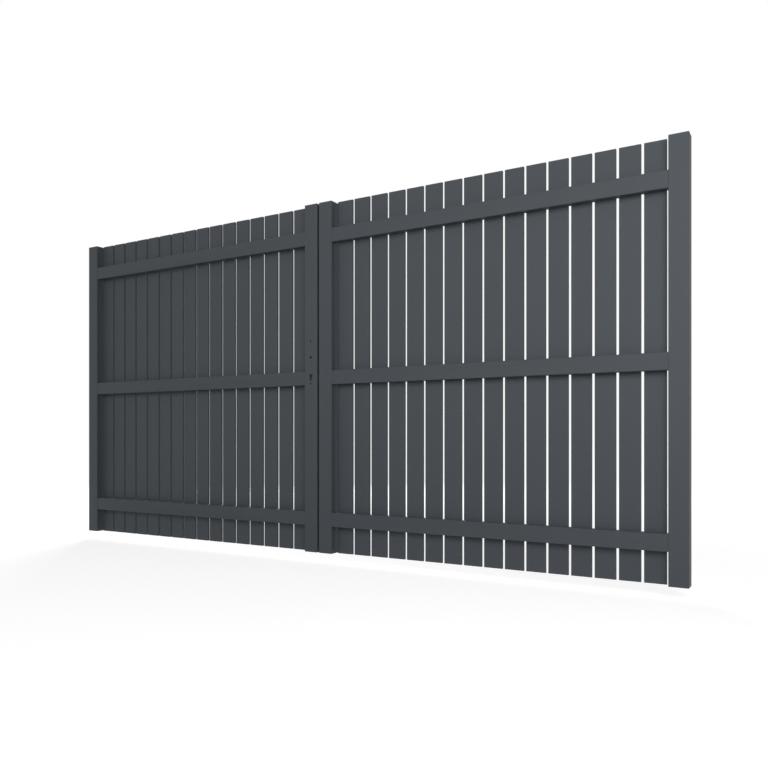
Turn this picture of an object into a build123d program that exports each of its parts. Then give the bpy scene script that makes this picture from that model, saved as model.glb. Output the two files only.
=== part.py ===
from build123d import *
import os

# A double-leaf swing gate in powder-coated aluminium, in millimetres.
# Each leaf is drawn in its own frame: x runs from the outer side to the middle of the
# gate, y from the front to the back and z up from the leaf's bottom edge.
# The right leaf is the left one mirrored. The row's origin is on the flat face of the
# lower left hinge bracket, the face that is bolted to the side of a pillar.

# Leaf
leaf_height = 1750
stile_width = 76
stile_depth = 60
stile_wall = 2.5
corner_ease = 1.5
cap_thickness = 4
cap_skirt = 14

# Rails, set in front of the slats
rail_height = 70
rail_depth = 38
rail_wall = 2
rail_setback = 2
rail_bottoms = {"bottom": 134, "middle": 840, "top": 1546}

# Slats
slat_count = 16
slat_pitch = 98
slat_gap = 12
slat_thickness = 12
slat_wall = 1.5
slat_web = 1.2
slat_ease = 1
slat_cap = 2
slat_width = slat_pitch - slat_gap
slat_front = rail_setback + rail_depth
rail_length = slat_count * slat_pitch + slat_gap
leaf_width = rail_length + 2 * stile_width

# Gate
centre_gap = 12
leaf_overlap = 8
gate_width = 2 * leaf_width + centre_gap
opening_width = gate_width - 2 * leaf_overlap

# Lift-off hinges, behind the outer stiles
hinge_x = 35
hinge_y = 88
hinge_heights = [300, 1450]
plate_thickness = 8
plate_width = 42
plate_height = 124
plate_hole_radius = 5.5
plate_hole_z = 48
lug_thickness = 12
lug_drop = 10
pin_radius = 7
pin_top = 38
rib_drop = 14
grease_gap = 0.5
barrel_radius = 13
barrel_length = 40
running_clearance = 0.05
strap_thickness = 6
strap_left = 21
strap_right = 61
strap_height = 100

# Lock, in the left meeting stile
lock_height = 888
follower_height = lock_height + 92
lock_x = leaf_width - stile_width / 2
profile_radius = 8.5
profile_stem = 5
profile_drop = 19.5
profile_clearance = 0.3
plug_radius = 6.5
plug_proud = 0.5
cylinder_proud = 1.5
cam_reach = 13.5
case_thickness = 15
case_bottom = 852
case_height = 165
case_back = leaf_width - 64
forend_width = 24
forend_height = 245
forend_thickness = 2
follower_radius = 9
spindle_side = 8.1
furniture_heights = [848, 1060]
furniture_radius = 3.5
latch_height = 16
latch_width = 12
latch_centre = 993
bolt_height = 30
bolt_width = 10
bolt_centre = 934
strike_height = 170
strike_thickness = 1.5

mid_depth = stile_depth / 2
case_middle = case_bottom + case_height / 2


def box(x0, x1, y0, y1, z0, z1):
    """A box given by its low and high corners."""
    centre = Pos((x0 + x1) / 2, (y0 + y1) / 2, (z0 + z1) / 2)
    return centre * Box(x1 - x0, y1 - y0, z1 - z0)


def rod_y(x, z, radius, y0, y1):
    """A round rod that runs from front to back."""
    disc = Plane.XZ * Pos(x, z) * Circle(radius)
    return Pos(0, y1, 0) * extrude(disc, y1 - y0)


def eased(width, height, ease):
    """The outline of an extrusion with its sharp corners taken off."""
    return chamfer(Rectangle(width, height).vertices(), ease)


def stile_tube():
    """One upright: a box section with eased corners, open at both ends for its caps."""
    outer = eased(stile_width, stile_depth, corner_ease)
    inner = Rectangle(stile_width - 2 * stile_wall, stile_depth - 2 * stile_wall)
    tube = extrude(outer - inner, leaf_height - 2 * cap_thickness)
    return Pos(stile_width / 2, mid_depth, cap_thickness) * tube


def stile_cap():
    """A moulded cap: a plate with a softened top edge and a skirt that fills the tube."""
    plate = extrude(eased(stile_width, stile_depth, corner_ease), cap_thickness)
    plate = chamfer(plate.faces().sort_by(Axis.Z)[-1].edges(), 1.2)
    width = stile_width - 2 * stile_wall - 0.4
    depth = stile_depth - 2 * stile_wall - 0.4
    skirt = extrude(Rectangle(width, depth) - Rectangle(width - 5, depth - 5), -cap_skirt)
    return plate + skirt


def stile_caps():
    """The four caps of a leaf, at the top and bottom of both stiles."""
    caps = []
    for x in [stile_width / 2, leaf_width - stile_width / 2]:
        caps.append(Pos(x, mid_depth, leaf_height - cap_thickness) * stile_cap())
        caps.append(Pos(x, mid_depth, cap_thickness) * Rot(180, 0, 0) * stile_cap())
    return Compound(children=caps)


def rail(bottom):
    """A crossbar: a box section between the stiles, just behind their front faces."""
    outer = eased(rail_depth, rail_height, corner_ease)
    inner = Rectangle(rail_depth - 2 * rail_wall, rail_height - 2 * rail_wall)
    tube = extrude(Plane.YZ * (outer - inner), rail_length)
    return Pos(stile_width, rail_setback + rail_depth / 2, bottom + rail_height / 2) * tube


def slat():
    """One flat slat: a three-chamber extrusion with eased corners."""
    section = eased(slat_width, slat_thickness, slat_ease)
    width = (slat_width - 2 * slat_wall - 2 * slat_web) / 3
    for x in [-width - slat_web, 0, width + slat_web]:
        section -= Pos(x, 0) * Rectangle(width, slat_thickness - 2 * slat_wall)
    return extrude(section, leaf_height - 2 * slat_cap)


def slat_positions():
    """The middle of each slat along the leaf."""
    first = stile_width + slat_gap + slat_width / 2
    return [first + slat_pitch * i for i in range(slat_count)]


def slats():
    """All slats of a leaf, standing on the back of its rails."""
    one = slat()
    y = slat_front + slat_thickness / 2
    return Compound(children=[Pos(x, y, slat_cap) * one for x in slat_positions()])


def slat_caps():
    """The flat caps that close the slats of a leaf at both ends."""
    one = extrude(eased(slat_width, slat_thickness, slat_ease), slat_cap)
    y = slat_front + slat_thickness / 2
    caps = []
    for x in slat_positions():
        for z in [0, leaf_height - slat_cap]:
            caps.append(Pos(x, y, z) * one)
    return Compound(children=caps)


def bracket(height):
    """The fixed half of a hinge: wall plate, lug with its rib, and the pin."""
    x0 = leaf_overlap
    x1 = x0 + plate_thickness
    plate = extrude(Plane.YZ * eased(plate_width, plate_height, 5), plate_thickness)
    plate = Pos(x0, hinge_y, 0) * plate
    outline = Pos((x0 + hinge_x) / 2, hinge_y) * Rectangle(hinge_x - x0, 2 * barrel_radius)
    outline += Pos(hinge_x, hinge_y) * Circle(barrel_radius)
    low = -lug_drop - lug_thickness
    lug = Pos(0, 0, low) * extrude(outline, lug_thickness)
    corners = [(x1, low), (hinge_x + 4, low), (x1, low - rib_drop)]
    rib = extrude(Plane.XZ * make_face(Polyline(*corners, close=True)), 4, both=True)
    pin = Pos(hinge_x, hinge_y, -lug_drop - 2) * Cylinder(
        pin_radius, pin_top + lug_drop + 2, align=(Align.CENTER, Align.CENTER, Align.MIN))
    shape = plate + lug + Pos(0, hinge_y, 0) * rib + pin
    for z in [-plate_hole_z, plate_hole_z]:
        hole = Pos(x0 + plate_thickness / 2, hinge_y, z) * Rot(0, 90, 0)
        shape -= hole * Cylinder(plate_hole_radius, plate_thickness + 2)
    return Pos(0, 0, height) * shape


def hinge_eye(height):
    """The moving half of a hinge: a strap on the back of the stile and its barrel."""
    bottom = grease_gap - lug_drop
    reach = hinge_y - stile_depth
    outline = Pos(hinge_x, hinge_y) * Circle(barrel_radius)
    outline += Pos(hinge_x, hinge_y - reach / 2) * Rectangle(16, reach)
    barrel = Pos(0, 0, bottom) * extrude(outline, barrel_length)
    strap = extrude(Plane.XZ * eased(strap_right - strap_left, strap_height, 4), -strap_thickness)
    middle = (strap_left + strap_right) / 2
    strap = Pos(middle, stile_depth, bottom + strap_height / 2) * strap
    bore = Pos(hinge_x, hinge_y, bottom + barrel_length / 2) * Cylinder(
        pin_radius + running_clearance, barrel_length + 2)
    return Pos(0, 0, height) * (barrel + strap - bore)


def hinge_eyes():
    """Both hinge eyes of a leaf."""
    return Compound(children=[hinge_eye(height) for height in hinge_heights])


def profile(extra):
    """The keyhole outline of a profile cylinder: a round head on a rounded stem."""
    head = Circle(profile_radius + extra)
    stem = Pos(0, -profile_drop / 2) * Rectangle(2 * (profile_stem + extra), profile_drop)
    foot = Pos(0, -profile_drop) * Circle(profile_stem + extra)
    return Pos(lock_x, lock_height) * (head + stem + foot)


def along_depth(sketch, y0, y1):
    """Extrudes an upright outline from front to back."""
    return Pos(0, y1, 0) * extrude(Plane.XZ * sketch, y1 - y0)


def lock_stile():
    """The meeting stile of the left leaf, cut for the lock."""
    tube = Pos(leaf_width - stile_width, 0, 0) * stile_tube()
    tube -= along_depth(profile(profile_clearance), -1, stile_depth + 1)
    tube -= rod_y(lock_x, follower_height, 10, -1, stile_depth + 1)
    for z in furniture_heights:
        tube -= rod_y(lock_x, z, furniture_radius, -1, stile_depth + 1)
    half = case_thickness / 2 + 0.3
    low = case_bottom - 0.3
    high = case_bottom + case_height + 0.3
    x0 = leaf_width - stile_wall - 1
    return tube - box(x0, leaf_width + 1, mid_depth - half, mid_depth + half, low, high)


def lock_case():
    """The lock's case, bored for the cylinder, the follower, the latch and the bolt."""
    y0 = mid_depth - case_thickness / 2
    y1 = mid_depth + case_thickness / 2
    case = box(case_back, leaf_width, y0, y1, case_bottom, case_bottom + case_height)
    case -= along_depth(profile(0.1), y0 - 1, y1 + 1)
    case -= rod_y(lock_x, follower_height, follower_radius + 0.1, y0 - 1, y1 + 1)
    for centre, height, width, length in [
        (latch_centre, latch_height, latch_width, 24),
        (bolt_centre, bolt_height, bolt_width, 44),
    ]:
        half_y = width / 2 + 0.1
        half_z = height / 2 + 0.1
        case -= box(leaf_width - length, leaf_width + 1, mid_depth - half_y,
                    mid_depth + half_y, centre - half_z, centre + half_z)
    return case


def lock_forend():
    """The lock's face plate on the edge of the stile."""
    x0 = leaf_width
    x1 = leaf_width + forend_thickness
    half = forend_width / 2
    z0 = case_middle - forend_height / 2
    plate = box(x0, x1, mid_depth - half, mid_depth + half, z0, z0 + forend_height)
    plate = fillet(plate.edges().filter_by(Axis.X), 6)
    for centre, height, width in [
        (latch_centre, latch_height, latch_width),
        (bolt_centre, bolt_height, bolt_width),
    ]:
        half_y = width / 2 + 0.2
        half_z = height / 2 + 0.2
        plate -= box(x0 - 1, x1 + 1, mid_depth - half_y, mid_depth + half_y,
                     centre - half_z, centre + half_z)
    return plate


def lock_cylinder():
    """The profile cylinder, with a slot for its cam and a key plug at both ends."""
    body = along_depth(profile(0), -cylinder_proud, stile_depth + cylinder_proud)
    plug_reach = cylinder_proud + plug_proud
    for y0, y1 in [(-plug_reach, 10), (stile_depth - 10, stile_depth + plug_reach)]:
        body += rod_y(lock_x, lock_height, plug_radius, y0, y1)
    cam_slot = box(lock_x - 10, lock_x + 10, mid_depth - 5, mid_depth + 5,
                   lock_height - cam_reach - 1, lock_height + 10)
    body -= cam_slot
    for y0, y1 in [(-3, 20), (stile_depth - 20, stile_depth + 3)]:
        body -= box(lock_x - 1.2, lock_x + 1.2, y0, y1, lock_height - 5.5, lock_height + 3.5)
    return body


def lock_cam():
    """The cam in the middle of the cylinder, its tooth turned down into the stem."""
    ring = Pos(lock_x, lock_height) * Circle(profile_radius - 0.2)
    tooth = Pos(lock_x, lock_height - cam_reach / 2) * Rectangle(8, cam_reach)
    return along_depth(ring + tooth, mid_depth - 4.8, mid_depth + 4.8)


def lock_follower():
    """The follower: a round hub with a square hole for the spindle of a handle."""
    half = case_thickness / 2 + 0.5
    hub = rod_y(lock_x, follower_height, follower_radius, mid_depth - half, mid_depth + half)
    side = spindle_side / 2
    return hub - box(lock_x - side, lock_x + side, 0, stile_depth,
                     follower_height - side, follower_height + side)


def lock_latch():
    """The latch, drawn back flush with the forend, with its sloping nose."""
    x1 = leaf_width + forend_thickness
    half_y = latch_width / 2
    half_z = latch_height / 2
    latch = box(leaf_width - 24, x1, mid_depth - half_y, mid_depth + half_y,
                latch_centre - half_z, latch_centre + half_z)
    nose = latch.edges().filter_by(Axis.Z).sort_by(Axis.Y)[-2:].sort_by(Axis.X)[-1]
    return chamfer(nose, 8, 8)


def lock_bolt():
    """The dead bolt, drawn back flush with the forend."""
    x1 = leaf_width + forend_thickness
    half_y = bolt_width / 2
    half_z = bolt_height / 2
    return box(leaf_width - 44, x1, mid_depth - half_y, mid_depth + half_y,
               bolt_centre - half_z, bolt_centre + half_z)


def keep_cuts(x0, x1):
    """The two openings on the right leaf that take the latch and the bolt."""
    cuts = []
    half_y = latch_width / 2 + 1.5
    for centre, height in [(latch_centre, latch_height), (bolt_centre, bolt_height)]:
        half_z = height / 2 + 2
        cuts.append(box(x0, x1, mid_depth - half_y, mid_depth + half_y,
                        centre - half_z, centre + half_z))
    return cuts


def strike_stile():
    """The meeting stile of the right leaf, opened behind the strike plate."""
    tube = Pos(leaf_width - stile_width, 0, 0) * stile_tube()
    for cut in keep_cuts(leaf_width - stile_wall - 1, leaf_width + 1):
        tube -= cut
    return tube


def strike_plate():
    """The strike plate on the edge of the right meeting stile."""
    x0 = leaf_width
    x1 = leaf_width + strike_thickness
    half = forend_width / 2
    z0 = case_middle - strike_height / 2
    plate = box(x0, x1, mid_depth - half, mid_depth + half, z0, z0 + strike_height)
    plate = fillet(plate.edges().filter_by(Axis.X), 6)
    for cut in keep_cuts(x0 - 1, x1 + 1):
        plate -= cut
    return plate


def place(shape, side):
    """Moves a piece from its leaf's frame to the row's frame."""
    if side == "left":
        return Pos(-leaf_overlap, -hinge_y, -hinge_heights[0]) * shape
    mirrored = mirror(shape, about=Plane.YZ)
    return Pos(opening_width + leaf_overlap, -hinge_y, -hinge_heights[0]) * mirrored


def leaf_pieces(side):
    """The pieces that both leaves have."""
    pieces = {
        "hinge_stile": stile_tube(),
        "slats": slats(),
        "slat_caps": slat_caps(),
        "stile_caps": stile_caps(),
        "hinge_eyes": hinge_eyes(),
    }
    for name, bottom in rail_bottoms.items():
        pieces[name + "_rail"] = rail(bottom)
    pieces["meeting_stile"] = lock_stile() if side == "left" else strike_stile()
    return {side + "_" + name: shape for name, shape in pieces.items()}


def build():
    """Every piece of the gate by node name, in the row's frame."""
    nodes = {}
    for side in ["left", "right"]:
        for name, shape in leaf_pieces(side).items():
            nodes[name] = place(shape, side)
        for level, height in zip(["lower", "upper"], hinge_heights):
            nodes["bracket_" + side + "_" + level] = place(bracket(height), side)
    lock = {
        "lock_case": lock_case(),
        "lock_forend": lock_forend(),
        "lock_cylinder": lock_cylinder(),
        "lock_cam": lock_cam(),
        "lock_follower": lock_follower(),
        "lock_latch": lock_latch(),
        "lock_bolt": lock_bolt(),
    }
    for name, shape in lock.items():
        nodes[name] = place(shape, "left")
    nodes["strike_plate"] = place(strike_plate(), "right")
    return nodes


os.makedirs("parts", exist_ok=True)
for name, shape in build().items():
    export_step(shape, "parts/" + name + ".step")
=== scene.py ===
import math

import bmesh
import bpy
from mathutils import Matrix, Vector


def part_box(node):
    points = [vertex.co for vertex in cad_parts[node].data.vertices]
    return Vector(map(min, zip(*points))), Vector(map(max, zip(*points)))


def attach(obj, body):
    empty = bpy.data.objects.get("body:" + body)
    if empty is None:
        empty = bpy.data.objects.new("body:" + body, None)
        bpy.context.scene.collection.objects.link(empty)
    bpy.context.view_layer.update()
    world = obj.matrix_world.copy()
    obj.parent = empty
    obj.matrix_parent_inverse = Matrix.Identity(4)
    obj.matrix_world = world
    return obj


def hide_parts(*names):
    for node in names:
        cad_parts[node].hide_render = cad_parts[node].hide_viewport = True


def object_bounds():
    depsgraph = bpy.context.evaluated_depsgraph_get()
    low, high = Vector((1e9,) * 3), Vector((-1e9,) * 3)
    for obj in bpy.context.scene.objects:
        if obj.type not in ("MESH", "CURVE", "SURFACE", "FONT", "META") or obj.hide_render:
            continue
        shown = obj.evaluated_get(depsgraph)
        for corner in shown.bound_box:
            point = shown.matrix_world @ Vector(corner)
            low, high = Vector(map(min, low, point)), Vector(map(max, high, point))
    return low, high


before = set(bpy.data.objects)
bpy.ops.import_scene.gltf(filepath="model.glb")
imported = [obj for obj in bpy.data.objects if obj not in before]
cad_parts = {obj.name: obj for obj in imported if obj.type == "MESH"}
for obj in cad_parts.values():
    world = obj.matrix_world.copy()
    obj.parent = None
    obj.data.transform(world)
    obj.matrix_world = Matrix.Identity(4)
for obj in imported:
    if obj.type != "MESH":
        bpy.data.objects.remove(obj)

bl_info = {
    "name": "Slatted Swing Gate",
    "version": (1, 0, 0),
    "blender": (4, 5, 0),
    "location": "View3D > Sidebar > Gate",
    "description": "Coats, slats, fixings and a white studio for a two-leaf slatted gate",
    "category": "Object",
}

CAD_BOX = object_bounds()
MM = 0.001
LEAVES = ("left", "right")
RAILS = ("bottom_rail", "middle_rail", "top_rail")
SLATS = 16

# The flat faces that make up a rounded slat edge, a screw head, a washer and a spindle guide
EDGE_STEPS = 3
SCREW_SIDES = 12
WASHER_SIDES = 24
GUIDE_SIDES = 40

# A pan-head screw from its rim to the bottom of its socket: the share of its radius, the
# share of its height, and how far the six lobes stand out
PAN_SCREW = ((1, 0, 0), (1, 0.25, 0), (0.93, 0.6, 0), (0.76, 0.88, 0), (0.58, 1, 0),
             (0.5, 1, 0.12), (0.46, 0.35, 0.12), (0.1, 0.3, 0))

# The washer and the head of a strap bolt, in millimetres. The crown is a share of the head.
WASHER_THICKNESS = 1.6
WASHER_BEVEL = 0.3
HEAD_SINK = 0.1
HEAD_BEVEL = 0.7
HEAD_CROWN = 0.88

# A spindle guide, in millimetres: a flange with bevelled edges and a skirt inside the hole
GUIDE_FLANGE = 2.2
GUIDE_SKIRT = 5
GUIDE_WALL = 2
GUIDE_MOUTH = (0.6, 0.3)
GUIDE_BEVEL = 0.4

# The hinge straps, in millimetres. Each bolt is given in from the stile's outer edge and up
# from the strap's bottom.
STRAP_HEIGHT = 100
STRAP_THICKNESS = 6
STRAP_BOLTS = ((52, 17), (41, 60), (41, 88))

# The soft lamps, in metres: the place, the point that the lamp faces, and the side length
LAMPS = {
    "Key": ((4.6, -2.6, 1.6), (3.1, 0, 0.8), 1.6),
    "Fill": ((0.9, -3.8, 2.0), (0.9, 0, 0.8), 3),
    "Back": ((-1.6, 3.8, 2.6), (1.6, 0, 0.5), 3),
}

# The camera, in metres from the gate's highest X, lowest Y and lowest Z
CAMERA_OFFSET = (0.449, -3.045, 0.583)
CAMERA_SHIFT = 0.068
SENSOR_WIDTH = 36

# The floor's reach, and its own shine near the gate and far away: metres from the middle of
# the gate, and strength
FLOOR_REACH = 60
SHINE_NEAR = (2, 0.77)
SHINE_FAR = (5.5, 0.98)


def linear(hex_colour):
    """Turns an sRGB hex colour such as 383E42 into linear red, green and blue."""
    channels = [int(hex_colour[i:i + 2], 16) / 255 for i in (0, 2, 4)]
    return tuple(c / 12.92 if c <= 0.04045 else ((c + 0.055) / 1.055) ** 2.4 for c in channels)


def colour_property(name, description, hex_colour):
    """A colour that a user can change, with its default given in sRGB hex."""
    return bpy.props.FloatVectorProperty(
        name=name, description=description, subtype="COLOR", size=3, min=0, max=1,
        default=linear(hex_colour))


def length_property(name, description, millimetres):
    """A length that a user can change, with its default given in millimetres."""
    return bpy.props.FloatProperty(
        name=name, description=description, subtype="DISTANCE", unit="LENGTH", min=0,
        precision=4, default=millimetres * MM)


def power_property(name, description, watts):
    """The power of a lamp that a user can change."""
    return bpy.props.FloatProperty(
        name=name, description=description, subtype="POWER", unit="POWER", min=0,
        default=watts)


class GateFinishSettings(bpy.types.PropertyGroup):
    """The colours of the gate's coats, plastics and metals."""
    coat: colour_property("Coat", "Powder coat on the stiles, rails and slats", "3B4045")
    cap: colour_property("Caps", "Moulded end caps", "36393D")
    hinge: colour_property("Hinges", "Coat on the hinge brackets and eyes", "33373B")
    stainless: colour_property("Stainless", "Brushed stainless lock parts", "B9B8B4")
    cylinder: colour_property("Cylinder", "Blackened profile cylinder", "2A2A2C")
    coat_grain: length_property("Coat grain", "Width of one grain of the powder coat", 1.4)


class GateSlatSettings(bpy.types.PropertyGroup):
    """The section of a slat."""
    width: length_property("Width", "Width of a slat", 86)
    edge_radius: length_property("Edge radius", "Rounding of a slat's long edges", 0.3)


class GateFixingSettings(bpy.types.PropertyGroup):
    """The sizes of the small fixings."""
    screw_radius: length_property("Screw head", "Radius of a slat screw's head", 5)
    screw_height: length_property("Screw height", "Height of a slat screw's head", 2.6)
    screw_spacing: length_property("Screw spacing", "Between the two screws of a crossing", 48)
    bolt_flats: length_property("Bolt head", "Across the flats of a strap bolt", 13)
    bolt_height: length_property("Bolt height", "Height of a strap bolt's head", 5.3)
    washer_radius: length_property("Washer", "Radius of a strap bolt's washer", 8)
    lock_screw_radius: length_property("Lock screw", "Radius of a forend screw's head", 4.2)
    lock_screw_height: length_property("Lock screw height", "Height of a forend screw", 0.3)
    lock_screw_inset: length_property("Lock screw inset", "From the end of its plate", 13)
    guide_bore: length_property("Guide bore", "Radius of the hole in a spindle guide", 5.8)
    guide_rim: length_property("Guide rim", "Outer radius of a spindle guide", 9.9)


class GateStageSettings(bpy.types.PropertyGroup):
    """The floor, the light and the camera."""
    floor_gap: length_property("Floor gap", "From the leaves down to the floor", 50)
    lens: bpy.props.FloatProperty(
        name="Lens", description="Focal length of the camera in millimetres", unit="CAMERA",
        min=1, default=35.0)
    turn: bpy.props.FloatProperty(
        name="Turn", description="How far the camera looks to the left", subtype="ANGLE",
        unit="ROTATION", default=math.radians(30.61))
    sky: bpy.props.FloatProperty(
        name="Sky", description="Strength of the even light from all round", min=0,
        default=0.13)
    key: power_property("Key", "Power of the soft lamp at the front right", 76)
    fill: power_property("Fill", "Power of the large soft lamp at the front left", 53)
    back: power_property("Back", "Power of the soft lamp behind the gate", 300)


def add_node(tree, kind, inputs=None, **settings):
    """Adds a node. Inputs go by name, or by number where a name comes twice. Each one is a
    value, or an output socket to link to it."""
    node = tree.nodes.new(kind)
    for key, value in settings.items():
        setattr(node, key, value)
    for key, value in (inputs or {}).items():
        if isinstance(value, bpy.types.NodeSocket):
            tree.links.new(value, node.inputs[key])
        else:
            node.inputs[key].default_value = value
    return node


def new_material(name):
    """A material with its node tree, empty but for the output node."""
    material = bpy.data.materials.new(name)
    material.use_nodes = True
    tree = material.node_tree
    tree.nodes.clear()
    return material, tree, tree.nodes.new("ShaderNodeOutputMaterial")


def shade_range(tree, factor, colour, low, high):
    """A colour that runs from low to high times itself as the factor goes from 0 to 1."""
    dark = tuple(c * low for c in colour) + (1,)
    light = tuple(min(1, c * high) for c in colour) + (1,)
    # 6 and 7 are the two colours, and output 2 is their mix
    mix = add_node(tree, "ShaderNodeMix", {0: factor, 6: dark, 7: light}, data_type="RGBA")
    return mix.outputs[2]


def powder_coat(name, colour, grain, roughness):
    """Polyester powder coat, sprayed on aluminium and baked.

    To the eye it is an even dark grey with a dry, silky sheen: a fine grain breaks the
    highlight up, and broad soft clouds keep a long bar from looking printed. Each slat
    was coated by itself, so one is a touch lighter than the next.
    """
    material, tree, output = new_material(name)
    place = add_node(tree, "ShaderNodeTexCoord").outputs["Object"]
    piece = add_node(tree, "ShaderNodeNewGeometry").outputs["Random Per Island"]
    # Clouds about 400 mm across, from the spray gun's passes
    clouds = add_node(tree, "ShaderNodeTexNoise", {
        "Vector": place, "Scale": 1 / (400 * MM), "Detail": 3, "Roughness": 0.55})
    both = add_node(tree, "ShaderNodeMath", {
        0: clouds.outputs["Fac"], 1: piece}, operation="ADD")
    mean = add_node(tree, "ShaderNodeMath", {0: both.outputs[0], 1: 0.5}, operation="MULTIPLY")
    base = shade_range(tree, mean.outputs[0], colour, 0.93, 1.07)
    # The real grain is about 0.3 mm. It is drawn larger, as it would be too fine to show.
    peel = add_node(tree, "ShaderNodeTexNoise", {
        "Vector": place, "Scale": 1 / grain, "Detail": 2, "Roughness": 0.6})
    rough = add_node(tree, "ShaderNodeMapRange", {
        "Value": peel.outputs["Fac"], "From Min": 0.3, "From Max": 0.7,
        "To Min": roughness - 0.05, "To Max": roughness + 0.07})
    bump = add_node(tree, "ShaderNodeBump", {
        "Height": peel.outputs["Fac"], "Strength": 0.18, "Distance": 0.4 * MM})
    shader = add_node(tree, "ShaderNodeBsdfPrincipled", {
        "Base Color": base, "Roughness": rough.outputs[0], "Normal": bump.outputs[0],
        "IOR": 1.45, "Specular IOR Level": 0.4})
    tree.links.new(shader.outputs[0], output.inputs[0])
    return material


def moulded_cap(name, colour):
    """Polyamide, injection moulded against a spark-eroded tool.

    To the eye it is a little duller and flatter than the coat beside it, with a fine
    leather-like grain.
    """
    material, tree, output = new_material(name)
    place = add_node(tree, "ShaderNodeTexCoord").outputs["Object"]
    # Spark-eroded grain of 0.8 mm, and faint clouds about 70 mm across
    grain = add_node(tree, "ShaderNodeTexVoronoi", {"Vector": place, "Scale": 1 / (0.8 * MM)})
    clouds = add_node(tree, "ShaderNodeTexNoise", {"Vector": place, "Scale": 14, "Detail": 3})
    base = shade_range(tree, clouds.outputs["Fac"], colour, 0.92, 1.08)
    rough = add_node(tree, "ShaderNodeMapRange", {
        "Value": clouds.outputs["Fac"], "To Min": 0.55, "To Max": 0.7})
    bump = add_node(tree, "ShaderNodeBump", {
        "Height": grain.outputs["Distance"], "Strength": 0.15, "Distance": 0.2 * MM})
    shader = add_node(tree, "ShaderNodeBsdfPrincipled", {
        "Base Color": base, "Roughness": rough.outputs[0], "Normal": bump.outputs[0],
        "IOR": 1.53})
    tree.links.new(shader.outputs[0], output.inputs[0])
    return material


def coated_steel(name, colour):
    """Forged and welded steel, zinc primed and powder coated.

    To the eye it is a slightly thicker, wetter coat than on the aluminium, with soft
    orange peel and patches that are rubbed a little brighter.
    """
    material, tree, output = new_material(name)
    place = add_node(tree, "ShaderNodeTexCoord").outputs["Object"]
    # Orange peel of 2.5 mm, and patches of wear about 33 mm across
    peel = add_node(tree, "ShaderNodeTexNoise", {
        "Vector": place, "Scale": 1 / (2.5 * MM), "Detail": 2})
    wear = add_node(tree, "ShaderNodeTexNoise", {"Vector": place, "Scale": 30, "Detail": 4})
    base = shade_range(tree, wear.outputs["Fac"], colour, 0.88, 1.1)
    rough = add_node(tree, "ShaderNodeMapRange", {
        "Value": wear.outputs["Fac"], "To Min": 0.36, "To Max": 0.5})
    bump = add_node(tree, "ShaderNodeBump", {
        "Height": peel.outputs["Fac"], "Strength": 0.25, "Distance": 0.4 * MM})
    shader = add_node(tree, "ShaderNodeBsdfPrincipled", {
        "Base Color": base, "Roughness": rough.outputs[0], "Normal": bump.outputs[0],
        "IOR": 1.5})
    tree.links.new(shader.outputs[0], output.inputs[0])
    return material


def brushed_metal(name, colour, smoothest, roughest):
    """Stainless steel or blackened brass, brushed along its length.

    To the eye it is a bright metal drawn out by fine lines that run upwards, so its
    highlight is a long streak and not a spot.
    """
    material, tree, output = new_material(name)
    place = add_node(tree, "ShaderNodeTexCoord").outputs["Object"]
    # Brush lines 0.25 mm wide and about 25 mm long
    across, along = 1 / (0.25 * MM), 1 / (25 * MM)
    stretch = add_node(tree, "ShaderNodeMapping", {
        "Vector": place, "Scale": (across, across, along)})
    lines = add_node(tree, "ShaderNodeTexNoise", {
        "Vector": stretch.outputs[0], "Scale": 1, "Detail": 2})
    base = shade_range(tree, lines.outputs["Fac"], colour, 0.9, 1.08)
    rough = add_node(tree, "ShaderNodeMapRange", {
        "Value": lines.outputs["Fac"], "To Min": smoothest, "To Max": roughest})
    bump = add_node(tree, "ShaderNodeBump", {
        "Height": lines.outputs["Fac"], "Strength": 0.1, "Distance": 0.1 * MM})
    shader = add_node(tree, "ShaderNodeBsdfPrincipled", {
        "Base Color": base, "Roughness": rough.outputs[0], "Normal": bump.outputs[0],
        "Metallic": 1})
    tree.links.new(shader.outputs[0], output.inputs[0])
    return material


def material_for(kind):
    """Gives each finish once and keeps it by its name."""
    finish = bpy.context.scene.gate_finish
    makers = {
        "Powder coat on aluminium": lambda n: powder_coat(
            n, finish.coat, finish.coat_grain, 0.6),
        "Moulded polyamide": lambda n: moulded_cap(n, finish.cap),
        "Powder-coated steel": lambda n: coated_steel(n, finish.hinge),
        "Brushed stainless steel": lambda n: brushed_metal(n, finish.stainless, 0.28, 0.42),
        "Blackened brass": lambda n: brushed_metal(n, finish.cylinder, 0.35, 0.5),
    }
    return bpy.data.materials.get(kind) or makers[kind](kind)


def coat_nodes(names, kind):
    """Gives every slot of the named CAD pieces one finish."""
    material = material_for(kind)
    for name in names:
        piece = bpy.data.objects.get(name)
        if piece is None:
            raise RuntimeError("no CAD piece named " + name)
        if not piece.material_slots:
            piece.data.materials.append(material)
        for slot in piece.material_slots:
            slot.material = material


def add_band(mesh, low, high):
    """Joins two closed loops of as many points by a band of faces."""
    count = len(low)
    for i in range(count):
        j = (i + 1) % count
        mesh.faces.new((low[i], low[j], high[j], high[i]))


def add_loops(mesh, place, rings):
    """Puts the points of each ring into the mesh, moved to their place."""
    return [[mesh.verts.new(place @ Vector(point)) for point in ring] for ring in rings]


def add_rings(mesh, place, rings):
    """Joins rings of points into a closed turned form, from its rim to its middle."""
    loops = add_loops(mesh, place, rings)
    for low, high in zip(loops, loops[1:]):
        add_band(mesh, low, high)
    mesh.faces.new(loops[-1])
    mesh.faces.new(loops[0][::-1])


def ring_points(radius, height, count, lobes=0.0):
    """One ring of points. Lobes push every second point out, for a six-lobed socket."""
    points = []
    for i in range(count):
        reach = radius * (1 + lobes * (1 if i % 2 else -1))
        angle = 2 * math.pi * i / count
        points.append((reach * math.cos(angle), reach * math.sin(angle), height))
    return points


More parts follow.
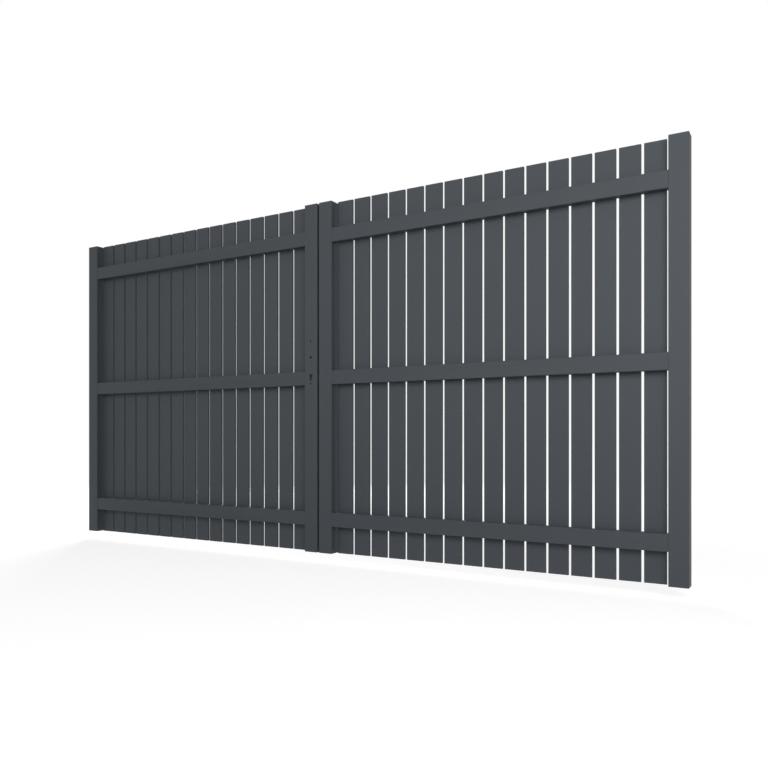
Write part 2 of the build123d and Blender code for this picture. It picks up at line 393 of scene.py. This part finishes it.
def add_pan_screw(mesh, place, radius, height):
    """A pan-head screw with a six-lobed socket."""
    add_rings(mesh, place, [
        ring_points(radius * across, height * up, SCREW_SIDES, lobes)
        for across, up, lobes in PAN_SCREW])


def add_hex_bolt(mesh, place, flats, height, washer_radius):
    """A hexagon-head bolt on its washer."""
    thickness, bevel = WASHER_THICKNESS * MM, WASHER_BEVEL * MM
    add_rings(mesh, place, [
        ring_points(washer_radius, 0, WASHER_SIDES),
        ring_points(washer_radius, thickness - bevel, WASHER_SIDES),
        ring_points(washer_radius - bevel, thickness, WASHER_SIDES)])
    corner = flats / math.sqrt(3)
    top = thickness + height
    add_rings(mesh, place, [
        ring_points(corner, thickness - HEAD_SINK * MM, 6),
        ring_points(corner, top - HEAD_BEVEL * MM, 6),
        ring_points(corner * HEAD_CROWN, top, 6)])


def add_spindle_guide(mesh, place, bore, rim):
    """A ring with its flange at the mouth of the hole and its skirt inside."""
    bevel = GUIDE_BEVEL * MM
    mouth_width, mouth_depth = (size * MM for size in GUIDE_MOUTH)
    inside = rim - GUIDE_WALL * MM
    profile = [
        (bore, -mouth_depth), (bore + mouth_width, 0), (rim - bevel, 0), (rim, -bevel),
        (rim, -GUIDE_SKIRT * MM), (inside, -GUIDE_SKIRT * MM), (inside, -GUIDE_FLANGE * MM),
        (bore, -GUIDE_FLANGE * MM)]
    loops = add_loops(mesh, place, [
        ring_points(radius, height, GUIDE_SIDES) for radius, height in profile])
    for low, high in zip(loops, loops[1:] + loops[:1]):
        add_band(mesh, low, high)


def add_slat(mesh, low, high, radius):
    """A slat from its low to its high corner, with its four long edges rounded.

    The end plates of the solids close its ends, so its chambers aren't drawn.
    """
    centres = ((high[0] - radius, high[1] - radius), (low[0] + radius, high[1] - radius),
               (low[0] + radius, low[1] + radius), (high[0] - radius, low[1] + radius))
    points = []
    for quarter, (x, y) in enumerate(centres):
        for step in range(EDGE_STEPS + 1):
            angle = (quarter + step / EDGE_STEPS) * math.pi / 2
            points.append((x + radius * math.cos(angle), y + radius * math.sin(angle)))
    bottom = [mesh.verts.new((x, y, low[2])) for x, y in points]
    top = [mesh.verts.new((x, y, high[2])) for x, y in points]
    mesh.faces.new(bottom[::-1])
    mesh.faces.new(top)
    add_band(mesh, bottom, top)


def slat_lefts(side, width):
    """The left edge of each slat of a leaf, spread evenly over the box of the slats."""
    low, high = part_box(side + "_slats")
    pitch = (high[0] - low[0] - width) / (SLATS - 1)
    return [low[0] + pitch * i for i in range(SLATS)]


def finish_piece(name, mesh, body, kind):
    """Turns a mesh into a named piece that rides a body and has a finish."""
    data = bpy.data.meshes.new(name)
    bmesh.ops.recalc_face_normals(mesh, faces=mesh.faces)
    mesh.to_mesh(data)
    mesh.free()
    piece = bpy.data.objects.new(name, data)
    bpy.context.scene.collection.objects.link(piece)
    data.materials.append(material_for(kind))
    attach(piece, body)
    return piece


def facing(point, direction):
    """A frame at a point, with its own z axis along a direction."""
    turn = Vector(direction).to_track_quat("Z", "Y").to_matrix().to_4x4()
    return Matrix.Translation(Vector(point)) @ turn


def tightened(degrees):
    """A turn of a fixing about its own axis, because no two are tightened to one angle."""
    return Matrix.Rotation(math.radians(degrees), 4, "Z")


def outward(side):
    """The direction from the middle of the gate to a leaf's hinges, along X."""
    return -1 if side == "left" else 1


class GATE_OT_coat_frame(bpy.types.Operator):
    """Powder coats the stiles and rails of both leaves"""
    bl_idname = "gate.coat_frame"
    bl_label = "Coat Stiles and Rails"

    def execute(self, context):
        parts = ("hinge_stile", "meeting_stile") + RAILS
        coat_nodes([side + "_" + part for side in LEAVES for part in parts],
                   "Powder coat on aluminium")
        return {"FINISHED"}


class GATE_OT_fine_slats(bpy.types.Operator):
    """Puts slats with nearly sharp long edges in the place of the more rounded solids"""
    bl_idname = "gate.fine_slats"
    bl_label = "Fine Slats"

    def execute(self, context):
        slat = context.scene.gate_slats
        for side in LEAVES:
            low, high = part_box(side + "_slats")
            mesh = bmesh.new()
            for left in slat_lefts(side, slat.width):
                add_slat(mesh, (left, low[1], low[2]),
                         (left + slat.width, high[1], high[2]), slat.edge_radius)
            piece = finish_piece(side + "_fine_slats", mesh, side + "_leaf",
                                 "Powder coat on aluminium")
            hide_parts(side + "_slats")
        return {"FINISHED"}


class GATE_OT_finish_caps(bpy.types.Operator):
    """Gives the end caps of the stiles and slats their moulded finish"""
    bl_idname = "gate.finish_caps"
    bl_label = "Finish End Caps"

    def execute(self, context):
        parts = ("stile_caps", "slat_caps")
        coat_nodes([side + "_" + part for side in LEAVES for part in parts],
                   "Moulded polyamide")
        return {"FINISHED"}


class GATE_OT_finish_hinges(bpy.types.Operator):
    """Coats the hinge brackets and the hinge eyes"""
    bl_idname = "gate.finish_hinges"
    bl_label = "Finish Hinges"

    def execute(self, context):
        brackets = [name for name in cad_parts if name.startswith("bracket_")]
        coat_nodes(brackets + [side + "_hinge_eyes" for side in LEAVES],
                   "Powder-coated steel")
        return {"FINISHED"}


class GATE_OT_finish_lock(bpy.types.Operator):
    """Gives the lock, its cylinder and the strike plate their metals"""
    bl_idname = "gate.finish_lock"
    bl_label = "Finish Lock"

    def execute(self, context):
        coat_nodes(["lock_case", "lock_forend", "lock_follower", "lock_latch", "lock_bolt",
                    "lock_cam", "strike_plate"], "Brushed stainless steel")
        coat_nodes(["lock_cylinder"], "Blackened brass")
        return {"FINISHED"}


class GATE_OT_slat_screws(bpy.types.Operator):
    """Screws every slat to every rail, from the back"""
    bl_idname = "gate.slat_screws"
    bl_label = "Slat Screws"

    def execute(self, context):
        fixing = context.scene.gate_fixing
        width = context.scene.gate_slats.width
        for side in LEAVES:
            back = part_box(side + "_slats")[1][1]
            mesh = bmesh.new()
            for rail in RAILS:
                low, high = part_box(side + "_" + rail)
                z = (low[2] + high[2]) / 2
                for i, left in enumerate(slat_lefts(side, width)):
                    for offset in (-fixing.screw_spacing / 2, fixing.screw_spacing / 2):
                        place = facing((left + width / 2 + offset, back, z), (0, 1, 0))
                        # The six-lobed socket looks the same again after 60 degrees
                        turn = tightened((i * 37 + offset * 900) % 60)
                        add_pan_screw(mesh, place @ turn, fixing.screw_radius,
                                      fixing.screw_height)
            finish_piece(side + "_slat_screws", mesh, side + "_leaf",
                         "Powder-coated steel")
        return {"FINISHED"}


class GATE_OT_strap_bolts(bpy.types.Operator):
    """Bolts the straps of the hinge eyes to the stiles"""
    bl_idname = "gate.strap_bolts"
    bl_label = "Strap Bolts"

    def execute(self, context):
        fixing = context.scene.gate_fixing
        for side in LEAVES:
            low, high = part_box(side + "_hinge_eyes")
            stile_low, stile_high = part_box(side + "_hinge_stile")
            edge = stile_low[0] if side == "left" else stile_high[0]
            y = stile_high[1] + STRAP_THICKNESS * MM
            mesh = bmesh.new()
            for bottom in (low[2], high[2] - STRAP_HEIGHT * MM):
                for along, up in STRAP_BOLTS:
                    x = edge - outward(side) * along * MM
                    place = facing((x, y, bottom + up * MM), (0, 1, 0))
                    add_hex_bolt(mesh, place @ tightened(along + up), fixing.bolt_flats,
                                 fixing.bolt_height, fixing.washer_radius)
            finish_piece(side + "_strap_bolts", mesh, side + "_leaf",
                         "Powder-coated steel")
        return {"FINISHED"}


class GATE_OT_lock_screws(bpy.types.Operator):
    """Adds the flush screws of the forend and the strike plate"""
    bl_idname = "gate.lock_screws"
    bl_label = "Lock Screws"

    def execute(self, context):
        fixing = context.scene.gate_fixing
        inset = fixing.lock_screw_inset
        plates = (("lock_forend", "left_leaf", 1), ("strike_plate", "right_leaf", -1))
        for node, body, side in plates:
            low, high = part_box(node)
            x = high[0] if side == 1 else low[0]
            y = (low[1] + high[1]) / 2
            mesh = bmesh.new()
            for z in (low[2] + inset, high[2] - inset):
                add_pan_screw(mesh, facing((x, y, z), (side, 0, 0)),
                              fixing.lock_screw_radius, fixing.lock_screw_height)
            finish_piece(node + "_screws", mesh, body, "Brushed stainless steel")
        return {"FINISHED"}


class GATE_OT_spindle_guides(bpy.types.Operator):
    """Sets a moulded guide ring into both spindle holes of the lock stile"""
    bl_idname = "gate.spindle_guides"
    bl_label = "Spindle Guides"

    def execute(self, context):
        fixing = context.scene.gate_fixing
        low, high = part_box("lock_follower")
        stile_low, stile_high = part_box("left_meeting_stile")
        x = (low[0] + high[0]) / 2
        z = (low[2] + high[2]) / 2
        mesh = bmesh.new()
        for y, direction in ((stile_low[1], -1), (stile_high[1], 1)):
            add_spindle_guide(mesh, facing((x, y, z), (0, direction, 0)),
                              fixing.guide_bore, fixing.guide_rim)
        finish_piece("spindle_guides", mesh, "left_leaf", "Moulded polyamide")
        return {"FINISHED"}


class GATE_OT_stage(bpy.types.Operator):
    """Sets up the white floor, the soft light and the camera"""
    bl_idname = "gate.stage"
    bl_label = "Stage"

    def execute(self, context):
        settings = context.scene.gate_stage
        low, high = CAD_BOX
        self.add_floor(((low[0] + high[0]) / 2, 0, low[2] - settings.floor_gap))
        self.add_world(context.scene, settings.sky)
        for name, (place, target, size) in LAMPS.items():
            self.add_lamp(name, place, target, size, getattr(settings, name.lower()))
        self.add_camera(context.scene, settings)
        context.scene.view_settings.view_transform = "Standard"
        return {"FINISHED"}

    def add_floor(self, middle):
        """A large white floor that keeps a soft shadow of the gate."""
        mesh = bmesh.new()
        bmesh.ops.create_grid(mesh, x_segments=1, y_segments=1, size=FLOOR_REACH)
        data = bpy.data.meshes.new("stage_floor")
        mesh.to_mesh(data)
        mesh.free()
        floor = bpy.data.objects.new("stage_floor", data)
        floor.location = middle
        bpy.context.scene.collection.objects.link(floor)
        material, tree, output = new_material("White studio floor")
        paint = add_node(tree, "ShaderNodeBsdfDiffuse", {"Color": (0.8, 0.8, 0.8, 1)})
        # The floor shines by itself where it is seen. It shines less near the gate, where
        # the faint paint under the lamps makes up the white and lets the shadow show.
        place = add_node(tree, "ShaderNodeTexCoord").outputs["Object"]
        away = add_node(tree, "ShaderNodeVectorMath", {0: place}, operation="LENGTH")
        shine = add_node(tree, "ShaderNodeMapRange", {
            "Value": away.outputs["Value"], "From Min": SHINE_NEAR[0],
            "From Max": SHINE_FAR[0], "To Min": SHINE_NEAR[1], "To Max": SHINE_FAR[1]})
        glow = add_node(tree, "ShaderNodeEmission", {
            "Color": (1, 1, 1, 1), "Strength": shine.outputs[0]})
        faint = add_node(tree, "ShaderNodeBsdfDiffuse", {"Color": (0.36, 0.36, 0.36, 1)})
        both = add_node(tree, "ShaderNodeAddShader", {
            0: glow.outputs[0], 1: faint.outputs[0]})
        mix = add_node(tree, "ShaderNodeMixShader", {
            0: self.seen_directly(tree), 1: paint.outputs[0], 2: both.outputs[0]})
        tree.links.new(mix.outputs[0], output.inputs[0])
        data.materials.append(material)

    def seen_directly(self, tree):
        """Is 1 for rays that show the background: from the camera, a gloss or a glass."""
        path = add_node(tree, "ShaderNodeLightPath")
        first = add_node(tree, "ShaderNodeMath", {
            0: path.outputs["Is Camera Ray"], 1: path.outputs["Is Glossy Ray"]},
            operation="ADD", use_clamp=True)
        second = add_node(tree, "ShaderNodeMath", {
            0: first.outputs[0], 1: path.outputs["Is Transmission Ray"]},
            operation="ADD", use_clamp=True)
        return second.outputs[0]

    def add_world(self, scene, strength):
        """White where it shows, and a low even light from all around."""
        world = bpy.data.worlds.new("White studio")
        world.use_nodes = True
        tree = world.node_tree
        tree.nodes.clear()
        output = tree.nodes.new("ShaderNodeOutputWorld")
        lit = add_node(tree, "ShaderNodeBackground", {
            "Color": (1, 1, 1, 1), "Strength": strength})
        white = add_node(tree, "ShaderNodeBackground", {
            "Color": (1, 1, 1, 1), "Strength": 1})
        mix = add_node(tree, "ShaderNodeMixShader", {
            0: self.seen_directly(tree), 1: lit.outputs[0], 2: white.outputs[0]})
        tree.links.new(mix.outputs[0], output.inputs[0])
        scene.world = world

    def add_lamp(self, name, place, target, size, power):
        """A square soft lamp that points at a target."""
        data = bpy.data.lights.new(name, "AREA")
        data.shape = "SQUARE"
        data.size = size
        data.energy = power
        lamp = bpy.data.objects.new(name, data)
        lamp.location = place
        direction = Vector(target) - Vector(place)
        lamp.rotation_euler = direction.to_track_quat("-Z", "Y").to_euler()
        bpy.context.scene.collection.objects.link(lamp)

    def add_camera(self, scene, settings):
        """The photograph's camera: level, a third of the way up and turned to the left."""
        data = bpy.data.cameras.new("Photo camera")
        data.sensor_width = SENSOR_WIDTH
        data.lens = settings.lens
        data.shift_y = CAMERA_SHIFT
        camera = bpy.data.objects.new("Photo camera", data)
        low, high = CAD_BOX
        right, front, up = CAMERA_OFFSET
        camera.location = (high[0] + right, low[1] + front, low[2] + up)
        camera.rotation_euler = (math.pi / 2, 0, settings.turn)
        scene.collection.objects.link(camera)
        scene.camera = camera


class GATE_PT_panel(bpy.types.Panel):
    """The gate's sizes, colours and steps"""
    bl_label = "Slatted Swing Gate"
    bl_idname = "GATE_PT_panel"
    bl_space_type = "VIEW_3D"
    bl_region_type = "UI"
    bl_category = "Gate"

    def draw(self, context):
        layout = self.layout
        for group in SETTINGS:
            settings = getattr(context.scene, group)
            box = layout.box()
            for name in settings.bl_rna.properties.keys():
                if name not in ("rna_type", "name"):
                    box.prop(settings, name)
        for operator in OPERATORS:
            layout.operator(operator.bl_idname)


SETTINGS = {
    "gate_finish": GateFinishSettings,
    "gate_slats": GateSlatSettings,
    "gate_fixing": GateFixingSettings,
    "gate_stage": GateStageSettings,
}
OPERATORS = (
    GATE_OT_coat_frame,
    GATE_OT_fine_slats,
    GATE_OT_finish_caps,
    GATE_OT_finish_hinges,
    GATE_OT_finish_lock,
    GATE_OT_slat_screws,
    GATE_OT_strap_bolts,
    GATE_OT_lock_screws,
    GATE_OT_spindle_guides,
    GATE_OT_stage,
)


def register():
    """Makes the settings, the operators and the panel known to Blender."""
    for name, group in SETTINGS.items():
        bpy.utils.register_class(group)
        setattr(bpy.types.Scene, name, bpy.props.PointerProperty(type=group))
    for operator in OPERATORS:
        bpy.utils.register_class(operator)
    bpy.utils.register_class(GATE_PT_panel)


def unregister():
    """Takes away what register has made known."""
    bpy.utils.unregister_class(GATE_PT_panel)
    for operator in reversed(OPERATORS):
        bpy.utils.unregister_class(operator)
    for name, group in reversed(list(SETTINGS.items())):
        delattr(bpy.types.Scene, name)
        bpy.utils.unregister_class(group)


def main():
    """Finishes the gate step by step."""
    register()
    bpy.ops.gate.coat_frame()
    bpy.ops.gate.fine_slats()
    bpy.ops.gate.finish_caps()
    bpy.ops.gate.finish_hinges()
    bpy.ops.gate.finish_lock()
    bpy.ops.gate.slat_screws()
    bpy.ops.gate.strap_bolts()
    bpy.ops.gate.lock_screws()
    bpy.ops.gate.spindle_guides()
    bpy.ops.gate.stage()


if __name__ == "__main__":
    main()
